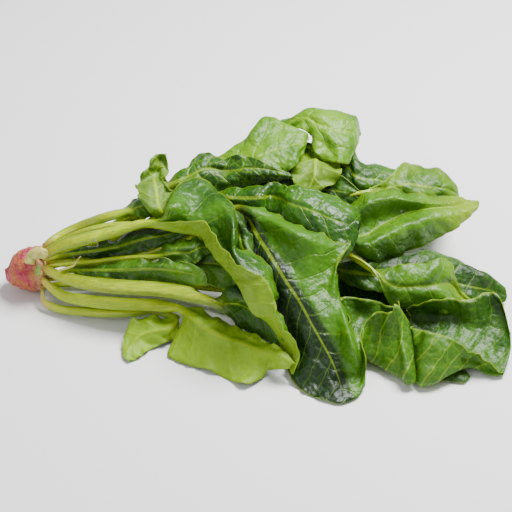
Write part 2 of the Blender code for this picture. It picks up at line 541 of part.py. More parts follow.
def ring_loft(grid, above, below):
    """Closed shell: each row becomes one ring over the top and back along the underside.

    Top and underside are split along the same diagonals, so the thin shell can twist and never cross itself.
    """
    top = top_side(grid)
    upper = grid + top * above[..., None]
    lower = grid - top * below[..., None]
    rings = np.concatenate([upper, lower[:, ::-1]], axis=1)
    rows, around = rings.shape[:2]
    n = around // 2
    faces = []
    for i in range(rows - 1):
        for j in range(around):
            k = (j + 1) % around
            a, b = i * around + j, i * around + k
            c, d = a + around, b + around
            faces += [(a, b, c), (b, d, c)] if j < n else [(a, b, d), (a, d, c)]
    for i, flip in ((0, False), (rows - 1, True)):
        for j in range(n - 1):
            a, b = i * around + j, i * around + j + 1
            c, d = i * around + around - 1 - j, i * around + around - 2 - j
            pair = [(a, c, b), (b, c, d)]
            faces += [f[::-1] for f in pair] if flip else pair
    return rings.reshape(-1, 3), np.array(faces)


class Pile:
    """Front of everything laid so far, seen along OUT, in cells of half a millimetre."""

    def __init__(self):
        self.shape = (int(SPREAD[1] - SPREAD[0]), int(SPREAD[3] - SPREAD[2]))
        self.front = np.full((2 * self.shape[0], 2 * self.shape[1]), -1e6)
        n = 20
        self.weights = np.array([(i, j, n - i - j) for i in range(n + 1) for j in range(n + 1 - i)]) / n

    def place(self, points):
        return points[:, 0] - SPREAD[0], points @ UP - SPREAD[2]

    def samples(self, points, faces):
        spread = np.einsum("sk,fkc->fsc", self.weights, points[faces]).reshape(-1, 3)
        x, y = self.place(spread)
        return spread, ((2 * x).astype(int), (2 * y).astype(int))

    @staticmethod
    def grow(field, steps):
        for _ in range(steps):
            p = np.pad(field, 1, mode="edge")
            q = np.maximum(np.maximum(p[:-2], p[1:-1]), p[2:])
            field = np.maximum(np.maximum(q[:, :-2], q[:, 1:-1]), q[:, 2:])
        return field

    @staticmethod
    def blur(field, steps):
        for _ in range(steps):
            p = np.pad(field, 1, mode="edge")
            q = (p[:-2] + p[1:-1] + p[2:]) / 3
            field = (q[:, :-2] + q[:, 1:-1] + q[:, 2:]) / 3
        return field

    def lack(self, points, faces):
        """How far each face still has to move outwards to be clear, by samples over it."""
        spread, cell = self.samples(points, faces)
        short = np.maximum(self.reached[cell] + GAP - spread @ OUT, (FLOOR - spread[:, 2]) / OUT[2])
        return np.where(short > 0, short + 0.02, 0), cell

    def lay(self, grid, above, below, stalk_rows):
        """Push a leaf outwards until it clears the floor and everything already laid."""
        self.reached = self.grow(self.front, 1)
        rows, columns = grid.shape[:2]
        points, faces = ring_loft(grid, above, below)
        row = np.arange(len(points)) // (2 * columns)
        blade_face = row[faces].min(axis=1) >= stalk_rows - 1
        blade_sample = np.repeat(blade_face, len(self.weights))
        ramp = np.clip((row - stalk_rows + 3) / 2, 0, 1)
        for attempt in range(LAY_ROUNDS):
            points, faces = ring_loft(grid, above, below)
            short, cell = self.lack(points, faces)
            if short.max() == 0:
                break
            by_face = short.reshape(len(faces), -1).max(axis=1) * ~blade_face
            by_row = np.zeros(row[-1] + 1)
            np.maximum.at(by_row, row[faces].ravel(), np.repeat(by_face, 3))
            eased = by_row
            for _ in range(2):
                ends = np.pad(eased, 1, mode="edge")
                eased = np.maximum(by_row, (ends[:-2] + ends[1:-1] + ends[2:]) / 3)
            field = np.zeros(self.shape)
            np.maximum.at(field, (cell[0][blade_sample] // 2, cell[1][blade_sample] // 2),
                          short[blade_sample])
            width = (3, 3, 5, 7, 9, 11)[min(attempt, 5)]
            field = self.blur(self.grow(field, width + 1), width)
            x, y = self.place(points)
            i, j = x.astype(int), y.astype(int)
            fx, fy = x - i, y - j
            push = ((field[i, j] * (1 - fx) + field[i + 1, j] * fx) * (1 - fy)
                    + (field[i, j + 1] * (1 - fx) + field[i + 1, j + 1] * fx) * fy)
            push = np.maximum(push * ramp, eased[row]).reshape(rows, 2, columns)
            grid = grid + np.maximum(push[:, 0], push[:, 1, ::-1])[..., None] * OUT
        return self.keep(points, faces), faces

    def set_down(self, points, faces):
        """Push a small piece outwards whole until it is clear."""
        self.reached = self.grow(self.front, 1)
        short, _ = self.lack(points, faces)
        return self.keep(points + short.max() * OUT, faces)

    def keep(self, points, faces):
        spread, cell = self.samples(points, faces)
        np.maximum.at(self.front, cell, spread @ OUT)
        return points


def crown_shape():
    """Lump of the root crown, cut ragged at its left end, with lengthwise ridges."""
    around = 18
    stations = np.array((0.0, 1.5, 4.0, 7.5, 11.5, 15.0, 18.5, CROWN_LENGTH))
    radii = np.array((5.5, 9.5, 12.2, 13.2, 13.8, 14.1, 14.3, 14.0))
    turn = np.linspace(0, 2 * math.pi, around, endpoint=False)
    rings = []
    for x, radius in zip(stations, radii):
        share = x / CROWN_LENGTH
        ridge = 0.7 * np.sin(5 * turn + 0.6 + 2 * share) + 0.5 * np.sin(9 * turn + 1.7 - 3 * share)
        slant = (1 - share) * (3.0 * np.cos(turn) + 2.0)
        size = radius + ridge * min(1, 3 * share)
        rings.append(np.stack([x + slant * (x < CROWN_LENGTH),
                               CROWN_AXIS[0] + size * np.sin(turn),
                               CROWN_AXIS[1] + size * np.cos(turn)], axis=1))
    return rings_to_shell(np.array(rings))


def rings_to_shell(rings):
    """Closed shell over rings of points, with a middle point on each end."""
    rows, around = rings.shape[:2]
    points = np.concatenate([rings.reshape(-1, 3), [rings[0].mean(axis=0), rings[-1].mean(axis=0)]])
    faces = []
    for i in range(rows - 1):
        for j in range(around):
            k = (j + 1) % around
            a, b = i * around + j, i * around + k
            faces += [(a, a + around, b), (b, a + around, b + around)]
    first, last = rows * around, rows * around + 1
    for j in range(around):
        k = (j + 1) % around
        faces.append((first, j, k))
        faces.append((last, (rows - 1) * around + k, (rows - 1) * around + j))
    return points, np.array(faces)


def tube_shape(path, radii, around):
    """Closed tube along a path, with a radius at each of its points."""
    path = np.array(path, float)
    steps = np.linalg.norm(np.diff(path, axis=0), axis=1)
    along = np.concatenate([[0], np.cumsum(steps)])
    at = np.linspace(0, along[-1], 3 * len(path))
    line = smooth_curve(along, path, at)
    size = np.interp(at, along, radii)
    tangent = unit(np.gradient(line, axis=0))
    side = unit(np.cross(tangent, OUT))
    other = np.cross(side, tangent)
    turn = np.linspace(0, 2 * math.pi, around, endpoint=False)
    rings = [p + r * (np.outer(np.cos(turn), a) + np.outer(np.sin(turn), b))
             for p, r, a, b in zip(line, size, side, other)]
    return rings_to_shell(np.array(rings))


def material(name, colour, roughness):
    made = bpy.data.materials.new(name)
    made.use_nodes = True
    shader = made.node_tree.nodes["Principled BSDF"]
    shader.inputs["Base Color"].default_value = (*colour, 1.0)
    shader.inputs["Roughness"].default_value = roughness
    shader.inputs["Metallic"].default_value = 0.0
    return made


def add_piece(name, points, faces, made, parent):
    mesh = bpy.data.meshes.new(name)
    mesh.from_pydata((points * MM).tolist(), [], faces.tolist())
    mesh.materials.append(made)
    for face in mesh.polygons:
        face.use_smooth = True
    mesh.set_sharp_from_angle(angle=SHARP)
    piece = bpy.data.objects.new(name, mesh)
    bpy.context.collection.objects.link(piece)
    piece.parent = parent
    return piece


for old in list(bpy.data.objects):
    bpy.data.objects.remove(old, do_unlink=True)

shapes = {}
pile = Pile()
for order, spec in enumerate(LEAVES):
    surface = leaf_surface(spec, order, STALK_ROWS, BLADE_ROWS, COLUMNS)
    shapes[spec["name"]] = (*pile.lay(*surface, STALK_ROWS), spec["colour"])

points, faces = crown_shape()
shapes["root_crown"] = (pile.keep(points, faces), faces, "crown")
for name, path, radii, colour in SMALL_PIECES:
    points, faces = tube_shape(path, radii, 8)
    shapes[name] = (pile.set_down(points, faces), faces, colour)

everything = np.concatenate([points for points, faces, colour in shapes.values()])
low, high = everything.min(axis=0), everything.max(axis=0)
shift = np.array(((low[0] + high[0]) / 2, (low[1] + high[1]) / 2, low[2]))
bunch = bpy.data.objects.new("spinach_bunch", None)
bpy.context.collection.objects.link(bunch)
made = {name: material(name, colour, rough) for name, (colour, rough) in COLOURS.items()}
for name, (points, faces, colour) in shapes.items():
    add_piece(name, points - shift, faces, made[colour], bunch)
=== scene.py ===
import math

import bpy
import numpy as np
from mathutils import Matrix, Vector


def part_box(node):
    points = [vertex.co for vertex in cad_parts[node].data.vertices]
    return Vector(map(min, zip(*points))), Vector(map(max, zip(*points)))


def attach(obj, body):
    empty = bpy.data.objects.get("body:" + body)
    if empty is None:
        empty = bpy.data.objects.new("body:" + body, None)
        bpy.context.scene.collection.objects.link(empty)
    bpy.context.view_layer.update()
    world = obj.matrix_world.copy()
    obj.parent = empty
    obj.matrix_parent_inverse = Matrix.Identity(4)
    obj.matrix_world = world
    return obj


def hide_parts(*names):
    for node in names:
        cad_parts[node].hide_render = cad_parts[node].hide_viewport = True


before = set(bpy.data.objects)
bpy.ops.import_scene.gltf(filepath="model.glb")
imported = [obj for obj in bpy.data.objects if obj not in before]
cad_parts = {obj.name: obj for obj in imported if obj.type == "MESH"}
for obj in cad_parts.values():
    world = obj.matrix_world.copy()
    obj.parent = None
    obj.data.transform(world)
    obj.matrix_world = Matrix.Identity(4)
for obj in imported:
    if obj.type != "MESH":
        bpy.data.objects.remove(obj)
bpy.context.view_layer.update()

# A bunch of spinach lying on its side: root crown at the left, leaves fanned out to the right.

# ---------------------------------------------------------------------------------------------
# Front leaf. The largest leaf of the plant, one piece with its stalk, hanging over the front of
# the bunch down to the table. A spinach leaf is a soft sheet, glossy above and matt below, with
# a pale rib that carries on into the stalk. It is drawn over the rings of its CAD solid.
MM = 0.001
RING = 14                # points around one ring of a CAD leaf: half over the top, half underneath
STALK_ROWS = 9           # rings of a CAD leaf that belong to its stalk
CAD_COLUMNS = np.sign(np.linspace(-1, 1, RING // 2)) * abs(np.linspace(-1, 1, RING // 2))**1.5
FINE_STALK = 30          # rows of the drawn leaf along its stalk
FINE_BLADE = 76          # and along its blade
FINE_COLUMNS = 37        # points across it
SKIN = 0.22              # how much thinner the drawn leaf is on each side than its CAD solid, in mm
VEIN_SPACING = 12.0      # distance between side veins along the rib, in mm
VEIN_LEAN = 0.75         # how far a side vein runs towards the tip for each millimetre across
VEIN_BEND = 0.006        # how quickly it turns away from the tip again
LONG_WAVE = 13.0         # waves of the margin, in mm
SHORT_WAVE = 6.3
RIB_GROOVE = 0.35        # depth of the groove over the rib, in mm


def strip(opposite, a, c):
    """Points on both sides of the strip of CAD faces that starts at the edge from a to c."""
    near, far = [], []
    for step in range(RING + 1):
        near.append(a)
        far.append(c)
        if step < RING // 2:
            b = opposite[c, a]
            d = opposite[c, b]
        else:
            d = opposite[c, a]
            b = opposite[d, a]
        a, c = b, d
    return near, far


def leaf_rings(name):
    """Rings of a CAD leaf from the crown to the tip, each over its top and back underneath, in mm."""
    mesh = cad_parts[name].data
    mesh.calc_loop_triangles()
    places = {}
    corner = []
    for vertex in mesh.vertices:
        key = tuple(round(c, 5) for c in vertex.co)
        corner.append(places.setdefault(key, len(places)))
    points = np.array(list(places)) / MM
    opposite = {}
    for triangle in mesh.loop_triangles:
        a, b, c = (corner[k] for k in triangle.vertices)
        opposite.update({(a, b): c, (b, c): a, (c, a): b})
    ends = np.flatnonzero(np.bincount([a for a, b in opposite]) == 3)
    start = ends[np.argmin(points[ends, 0])]
    for after in [b for a, b in opposite if a == start]:
        near, far = strip(opposite, start, after)
        if near[0] == near[-1] and far[0] == far[-1] and len(set(near + far)) == 2 * RING:
            break
    rings = [near[:-1]]
    while (len(rings) + 1) * RING < len(points):
        last = far
        near, far = strip(opposite, last[0], opposite[last[0], last[1]])
        closed = near[0] == near[-1] and far[0] == far[-1]
        rings.append((near if closed else last)[:-1])
    rings.append(far[:-1])
    return points[np.array(rings)]


def smooth_curve(knots, values, at):
    """Curve through the values at the knots, sampled at the given places."""
    span = np.diff(knots)
    slope = np.diff(values, axis=0) / span[:, None]
    tangent = np.empty_like(values)
    tangent[0] = slope[0]
    tangent[-1] = slope[-1]
    weight = (span[1:] + span[:-1])[:, None]
    tangent[1:-1] = (slope[:-1] * span[1:, None] + slope[1:] * span[:-1, None]) / weight
    k = np.clip(np.searchsorted(knots, at, side="right") - 1, 0, len(span) - 1)
    u = ((at - knots[k]) / span[k])[:, None]
    h = span[k][:, None]
    return ((2 * u**3 - 3 * u**2 + 1) * values[k] + (u**3 - 2 * u**2 + u) * h * tangent[k]
            + (3 * u**2 - 2 * u**3) * values[k + 1] + (u**3 - u**2) * h * tangent[k + 1])


def finer(values, rows, columns, at_rows, at_columns):
    """A net of values drawn out smoothly in both directions."""
    depth = values.shape[2]
    out = smooth_curve(rows, values.reshape(len(rows), -1), at_rows)
    out = out.reshape(len(at_rows), len(columns), depth).transpose(1, 0, 2).reshape(len(columns), -1)
    out = smooth_curve(columns, out, at_columns)
    return out.reshape(len(at_columns), len(at_rows), depth).transpose(1, 0, 2)


def top_side(grid):
    """Direction out of a leaf's top at each point of its net."""
    out = np.cross(np.gradient(grid, axis=1), np.gradient(grid, axis=0))
    return out / np.maximum(np.linalg.norm(out, axis=-1, keepdims=True), 1e-9)


def crumple(rng, rows, columns, across, along):
    """Soft random hills over a leaf, about one for each cell of a coarse net."""
    net = rng.normal(size=(rows, columns, 1))
    hills = finer(net, np.linspace(0, 1, rows), np.linspace(0, 1, columns), along, across)
    return hills[:, :, 0]


def join_bunch(name, mesh, finish):
    """Puts a drawn piece in the place of its CAD solid."""
    mesh.polygons.foreach_set("use_smooth", np.ones(len(mesh.polygons), bool))
    mesh.materials.clear()
    mesh.materials.append(finish)
    piece = bpy.data.objects.new(name + "_skin", mesh)
    bpy.context.collection.objects.link(piece)
    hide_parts(name)
    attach(piece, "root")
    return piece


def draw_leaf(name, finish, seed, quilt=0.7, crumples=0.5, frill=0.8):
    """Leaf over its CAD rings: quilt is the swell between side veins, frill the waves of its margin."""
    rings = leaf_rings(name)
    upper, lower = rings[:, :RING // 2], rings[:, :RING // 2 - 1:-1]
    middle = (upper + lower) / 2
    half = np.linalg.norm(upper - lower, axis=2, keepdims=True) / 2
    steps = np.linalg.norm(np.diff(middle[:, RING // 4], axis=0), axis=1)
    knots = np.concatenate([[0], np.cumsum(steps)])
    blade_start = knots[STALK_ROWS]
    along = np.concatenate([np.linspace(0, blade_start, FINE_STALK, endpoint=False),
                            np.linspace(blade_start, knots[-1], FINE_BLADE)])
    c = np.linspace(-1, 1, FINE_COLUMNS)
    v = np.sign(c) * abs(c)**1.25
    grid = finer(middle, knots, CAD_COLUMNS, along, v)
    half = np.maximum(finer(half, knots, CAD_COLUMNS, along, v)[:, :, 0] - SKIN, 0.2)
    run = np.repeat((along - blade_start)[:, None], FINE_COLUMNS, axis=1)
    share = np.clip(run / (knots[-1] - blade_start), 0, 1)
    reach = np.linalg.norm(np.diff(grid, axis=1), axis=2)
    reach = np.concatenate([np.zeros((len(along), 1)), np.cumsum(reach, axis=1)], axis=1)
    reach = reach - reach[:, [FINE_COLUMNS // 2]]
    edge = np.repeat(abs(v)[None], len(along), axis=0)

    rng = np.random.default_rng(seed)
    veins = (run - VEIN_LEAN * abs(reach) + VEIN_BEND * reach**2) / VEIN_SPACING + 0.5 * (reach > 0)
    off_vein = abs(veins - np.round(veins)) * 2
    on_blade = np.clip(run / 15, 0, 1)
    clear_of_rib = np.clip(abs(reach) / 5, 0, 1)
    clear_of_tip = np.clip((1 - share) * 8, 0, 1)
    lift = quilt * (np.sqrt(off_vein) - 0.6) * clear_of_rib * np.clip((1 - edge) * 5, 0, 1)
    lift = lift + crumples * crumple(rng, 13, 7, np.linspace(0, 1, FINE_COLUMNS),
                                     np.linspace(0, 1, len(along))) * clear_of_rib
    phase = rng.uniform(0, 2 * math.pi, 4)
    side = (c > 0).astype(int)
    wave = np.sin(run * 2 * math.pi / LONG_WAVE + phase[side])
    wave = wave + 0.5 * np.sin(run * 2 * math.pi / SHORT_WAVE + phase[side + 2])
    lift = lift + frill * wave * edge**6
    lift = lift - RIB_GROOVE * np.exp(-(reach / 1.6)**2) * (1 - share)
    grid = grid + top_side(grid) * (lift * on_blade * clear_of_tip)[..., None]

    top = top_side(grid)
    ring = np.concatenate([grid + top * half[..., None], (grid - top * half[..., None])[:, ::-1]], axis=1)
    rows, around = ring.shape[:2]
    index = np.arange(rows * around).reshape(rows, around)
    beside = np.roll(index, -1, axis=1)
    sides = np.stack([index[:-1], beside[:-1], beside[1:], index[1:]], axis=-1).reshape(-1, 4)
    over, under = index[:, :FINE_COLUMNS], index[:, :FINE_COLUMNS - 1:-1]
    foot = np.stack([over[0, :-1], under[0, :-1], under[0, 1:], over[0, 1:]], axis=-1)
    tip = np.stack([over[-1, :-1], over[-1, 1:], under[-1, 1:], under[-1, :-1]], axis=-1)
    mesh = bpy.data.meshes.new(name + "_skin")
    mesh.from_pydata((ring.reshape(-1, 3) * MM).tolist(), [], np.concatenate([sides, foot, tip]).tolist())
    for key, values in (("run", run), ("reach", reach), ("edge", edge), ("share", share)):
        spread = np.concatenate([values, values[:, ::-1]], axis=1)
        mesh.attributes.new(key, "FLOAT", "POINT").data.foreach_set("value", spread.ravel())
    above = np.repeat([[1.0] * FINE_COLUMNS + [0.0] * FINE_COLUMNS], rows, axis=0)
    mesh.attributes.new("above", "FLOAT", "POINT").data.foreach_set("value", above.ravel())
    return join_bunch(name, mesh, finish)


class Link:
    """A shader value; sums written with it add Math nodes."""

    def __init__(self, tree, socket=None):
        self.tree = tree
        self.socket = socket

    def node(self, kind, settings, values, output=0):
        made = self.tree.nodes.new("ShaderNode" + kind)
        for key, value in settings.items():
            setattr(made, key, value)
        for key, value in values.items():
            if isinstance(value, Link):
                self.tree.links.new(value.socket, made.inputs[key])
            else:
                made.inputs[key].default_value = value
        return Link(self.tree, made.outputs[output])

    def math(self, operation, a, b=0.0):
        return self.node("Math", {"operation": operation}, {0: a, 1: b})

    def __add__(self, other):
        return self.math("ADD", self, other)

    __radd__ = __add__

    def __sub__(self, other):
        return self.math("SUBTRACT", self, other)

    def __rsub__(self, other):
        return self.math("SUBTRACT", other, self)

    def __mul__(self, other):
        return self.math("MULTIPLY", self, other)

    __rmul__ = __mul__

    def __truediv__(self, other):
        return self.math("DIVIDE", self, other)

    def __gt__(self, other):
        return self.math("GREATER_THAN", self, other)

    def __abs__(self):
        return self.math("ABSOLUTE", self)

    def rise(self, low, high):
        """0 below low, 1 above high, and smooth between them."""
        return self.node("MapRange", {"interpolation_type": "SMOOTHSTEP"}, {0: self, 1: low, 2: high})

    def mix(self, factor, under, over):
        return self.node("Mix", {"data_type": "RGBA"}, {0: factor, 6: under, 7: over}, output=2)

    def noise(self, size, detail=2.0):
        """Soft noise whose lumps are about size millimetres across."""
        return self.node("TexNoise", {}, {"Vector": self, "Scale": 1 / (size * MM), "Detail": detail})


def start_finish(name):
    """New material, its shader, and the Link and surface place to build it from."""
    made = bpy.data.materials.new(name)
    made.use_nodes = True
    shader = made.node_tree.nodes["Principled BSDF"]
    shader.inputs["Specular IOR Level"].default_value = 0.38
    link = Link(made.node_tree)
    return made, shader, link, link.node("TexCoord", {}, {}, output=3)


def finish_with(shader, link, colour, roughness, height):
    """Joins the colour, the roughness and a height in mm to the shader."""
    bump = link.node("Bump", {}, {"Strength": 1.0, "Distance": MM, "Height": height})
    for socket, value in (("Base Color", colour), ("Roughness", roughness), ("Normal", bump)):
        link.tree.links.new(value.socket, shader.inputs[socket])


def rgb(red, green, blue):
    return (red, green, blue, 1.0)


STALK_GREEN = rgb(0.30, 0.44, 0.04)
STALK_PALE = rgb(0.52, 0.60, 0.13)
STALK_PINK = rgb(0.66, 0.36, 0.20)
VEIN_PALE = rgb(0.20, 0.34, 0.05)
RIB_PALE = rgb(0.30, 0.43, 0.07)
# Pale green for the very edge of each leaf: a painted highlight where the rim catches the light.
RIM_HIGHLIGHT = rgb(0.25, 0.36, 0.05)


def leaf_finish(name, deep, light, under=rgb(0.16, 0.30, 0.03), gloss=0.44, net=0.12, veins=0.22,
                drops=0.0, painted_shade_side=0.0, yellow=0.0):
    """Leaf skin: deep and light are its greens above, under is its underside, gloss its roughness above,
    net and veins how plainly the veins show, drops how wet it is, yellow how far its tip has turned.
    The drops are also tinted paler, a painted glint, and the margin carries a painted highlight; a shaded
    side, when given, darkens the half of the blade on that side of the rib as painted shade."""
    made, shader, link, place = start_finish(name)
    run, reach, edge, share, above = (link.node("Attribute", {"attribute_name": key}, {}, output=2)
                                      for key in ("run", "reach", "edge", "share", "above"))
    cloud = place.noise(24)
    grain = place.noise(2.2, 3)
    wobble = (place.noise(14) - 0.5) * 7
    path = (run - VEIN_LEAN * abs(reach) + VEIN_BEND * reach * reach + wobble) / VEIN_SPACING
    path = path + (reach > 0) * 0.5
    off_vein = link.math("PINGPONG", path, 0.5) * VEIN_SPACING
    width = 0.75 - 0.45 * edge
    on_blade = run.rise(-2, 8)
    side_vein = (1 - off_vein.rise(width * 0.3, width * 1.5)) * on_blade
    coarse_cell, fine_cell = (link.node("TexVoronoi", {"feature": "DISTANCE_TO_EDGE"},
                                        {"Vector": place, "Scale": 1 / (size * MM)}) for size in (6.0, 2.3))
    net_lines = (1 - coarse_cell.rise(0.01, 0.09)) * 0.7 + (1 - fine_cell.rise(0.0, 0.12)) * 0.3
    rib_width = 1.7 - 1.3 * share
    rib = (1 - abs(reach).rise(rib_width * 0.55, rib_width * 1.1)) * (1 - share.rise(0.8, 1.0))

    shade = (cloud - 0.5) * 1.6 + 0.5 + (grain - 0.5) * 0.5
    # Painted shade: when a shaded side is given, the half of the blade on that side of the rib is pushed far
    # towards the deep colours, above and below.
    if painted_shade_side:
        shade = shade + (reach * painted_shade_side).rise(-3, 9) * 1.3 - 0.9
    green = link.mix(shade.rise(0.1, 0.9), deep, light)
    if yellow:
        green = link.mix(share.rise(0.55, 1.0) * yellow, green, rgb(0.30, 0.40, 0.05))
    green = link.mix(side_vein * veins + net_lines * net, green, VEIN_PALE)
    green = link.mix(rib * 0.5, green, RIB_PALE)
    pale = link.mix(shade.rise(0.1, 0.9), tuple(0.75 * c for c in under[:3]) + (1.0,), under)
    pale = link.mix(side_vein * 0.5 + net_lines * 0.25, pale, rgb(0.28, 0.42, 0.07))
    pale = link.mix(rib, pale, RIB_PALE)
    colour = link.mix(above, pale, green)
    # Painted highlight: the outermost edge of the blade is mixed towards the pale rim colour.
    colour = link.mix(edge.rise(0.955, 1.0) * on_blade * 0.65, colour, RIM_HIGHLIGHT)

    crown_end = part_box("root_crown")[1].x
    x = link.node("SeparateXYZ", {}, {0: place})
    stretched = link.node("VectorMath", {"operation": "MULTIPLY"}, {0: place, 1: (0.06, 1.0, 1.0)})
    fibre = stretched.noise(1.4, 2)
    stalk = link.mix(fibre.rise(0.3, 0.7), STALK_GREEN, STALK_PALE)
    stalk = link.mix((1 - x.rise(crown_end, crown_end + 0.045)) * 0.75, stalk, STALK_PALE)
    stalk = link.mix((1 - x.rise(crown_end - 0.002, crown_end + 0.012)) * 0.7, stalk, STALK_PINK)
    colour = link.mix((1 - run.rise(-14, 10)) * (1 - 0.5 * edge.rise(0.3, 0.9)), colour, stalk)

    height = (above * -0.9 + 0.35) * (side_vein * 0.35 + net_lines * 0.10) * on_blade
    height = height + (coarse_cell * 0.5 + place.noise(10, 2) * 3) * on_blade
    height = height + grain * 0.15 + fibre * 0.3 * (1 - on_blade)
    roughness = above * (gloss - 0.55) + 0.55 + (grain - 0.5) * 0.15 - (1 - on_blade) * 0.12
    if drops:
        cell = {"Vector": place, "Scale": 1 / (5.5 * MM)}
        gap = link.node("TexVoronoi", {}, cell)
        luck = link.node("SeparateColor", {}, {0: link.node("TexVoronoi", {}, cell, output=1)})
        size = (luck.rise(1 - drops, 1.0) * 0.20 + 0.06) * (luck > 1 - drops)
        dome = link.math("SQRT", link.math("MAXIMUM", size * size - gap * gap, 0.0)) * 5.5
        drop = dome.rise(0.0, 0.15) * above
        height = height + dome * 1.2 * above
        roughness = roughness * (1 - drop) + drop * 0.04
        # Painted glint: besides their bump and low roughness, the drops are tinted pale, standing in for the
        # light they reflect.
        colour = link.mix(drop * 0.35, colour, rgb(0.55, 0.62, 0.45))
    rich = link.node("HueSaturation", {}, {"Saturation": 1.22, "Value": 0.95, "Color": colour})
    finish_with(shader, link, rich, roughness, height)
    return made


# Half of the front leaf, on one side of the rib, is painted near black as painted shade.
front_finish = leaf_finish("front_leaf_skin", deep=rgb(0.004, 0.018, 0.003), light=rgb(0.06, 0.18, 0.008),
                           gloss=0.42, veins=0.2, net=0.06, painted_shade_side=-1.0)
draw_leaf("front_leaf", front_finish, seed=1, quilt=0.6, frill=0.8)

# ---------------------------------------------------------------------------------------------
# Left trough leaf. A glossy, bulging leaf that hangs in front of the stalks. Its near half is
# folded over along the rib, so that the lighter underside shows.
trough_finish = leaf_finish("left_trough_leaf_skin", deep=rgb(0.012, 0.055, 0.006),
                            light=rgb(0.07, 0.19, 0.015), under=rgb(0.22, 0.36, 0.05),
                            gloss=0.38, veins=0.22, net=0.08, drops=0.12)
draw_leaf("left_trough_leaf", trough_finish, seed=2, quilt=1.0, crumples=0.8, frill=0.8)

# ---------------------------------------------------------------------------------------------
# Leaves on the right: the long pointed one, two folded like troughs, the bright middle one, and
# the low ones whose undersides curl up. They lie on the table at the far end of the bunch.
right_finish = leaf_finish("right_leaves_skin", deep=rgb(0.008, 0.04, 0.004), light=rgb(0.06, 0.17, 0.012),
                           under=rgb(0.055, 0.16, 0.012), gloss=0.44, veins=0.22, net=0.1)
pointed_finish = leaf_finish("pointed_leaf_skin", deep=rgb(0.03, 0.10, 0.008), light=rgb(0.10, 0.24, 0.018),
                             gloss=0.42, veins=0.2, net=0.08, drops=0.2, yellow=0.7)
low_finish = leaf_finish("low_leaves_skin", deep=rgb(0.008, 0.035, 0.004), light=rgb(0.05, 0.15, 0.01),
                         under=rgb(0.15, 0.27, 0.04), gloss=0.46, veins=0.2, net=0.1)
draw_leaf("pointed_leaf", pointed_finish, seed=3, quilt=0.8, frill=0.5)
draw_leaf("right_trough_leaf", right_finish, seed=4, quilt=0.8, frill=1.0)
draw_leaf("front_trough_leaf", right_finish, seed=5, quilt=0.8, frill=0.8)
draw_leaf("middle_right_leaf", pointed_finish, seed=6, quilt=0.8)
draw_leaf("low_back_leaf", low_finish, seed=7, quilt=0.7, frill=1.2)
draw_leaf("floor_front_leaf", low_finish, seed=8)

# ---------------------------------------------------------------------------------------------
# Leaves along the top: broad ones arched over the bunch, wet from washing, and the small ones at
# the upper left that stand up from it.
wet_finish = leaf_finish("wet_leaf_skin", deep=rgb(0.010, 0.045, 0.005), light=rgb(0.05, 0.16, 0.012),
                         gloss=0.37, veins=0.2, net=0.1, drops=0.35)
light_finish = leaf_finish("light_leaves_skin", deep=rgb(0.06, 0.17, 0.012), light=rgb(0.17, 0.34, 0.03),
                           under=rgb(0.16, 0.28, 0.04), gloss=0.44, veins=0.2, net=0.12, drops=0.25)
veined_finish = leaf_finish("veined_leaf_skin", deep=rgb(0.008, 0.04, 0.005), light=rgb(0.03, 0.11, 0.008),
                            gloss=0.42, veins=0.5, net=0.5)
upright_finish = leaf_finish("upright_leaf_skin", deep=rgb(0.015, 0.07, 0.007), light=rgb(0.06, 0.17, 0.015),
                             under=rgb(0.15, 0.26, 0.06), gloss=0.44, veins=0.22, net=0.15)
draw_leaf("wet_leaf", wet_finish, seed=9, quilt=0.9, frill=0.6)
draw_leaf("veined_leaf", veined_finish, seed=10, quilt=1.0, frill=0.8)
draw_leaf("peaked_leaf", light_finish, seed=11, quilt=0.7, frill=0.8)
draw_leaf("top_back_leaf", light_finish, seed=12, quilt=0.7, frill=1.0)
draw_leaf("tucked_leaf", light_finish, seed=13)
draw_leaf("small_ribbed_leaf", upright_finish, seed=14, quilt=1.0)
draw_leaf("upright_leaf", upright_finish, seed=15, quilt=0.6)

# ---------------------------------------------------------------------------------------------
# Leaves at the back: the ones that close the bunch behind, dark or yellow-green and crumpled.
# Two of them lie or hang behind it, where only the rest of the bunch holds them.
back_finish = leaf_finish("back_leaves_skin", deep=rgb(0.008, 0.035, 0.004), light=rgb(0.05, 0.15, 0.01),
                          gloss=0.46, veins=0.2, net=0.12)
yellow_finish = leaf_finish("yellow_leaf_skin", deep=rgb(0.04, 0.12, 0.01), light=rgb(0.16, 0.29, 0.02),
                            gloss=0.46, veins=0.2, net=0.12)
draw_leaf("far_back_leaf", back_finish, seed=16, quilt=0.9, frill=1.0)
draw_leaf("right_back_leaf", yellow_finish, seed=17, quilt=0.9, crumples=0.9, frill=1.2)
draw_leaf("inner_back_leaf", back_finish, seed=18)
draw_leaf("floor_back_leaf", back_finish, seed=19)
draw_leaf("back_drape_leaf", back_finish, seed=20, quilt=0.9)

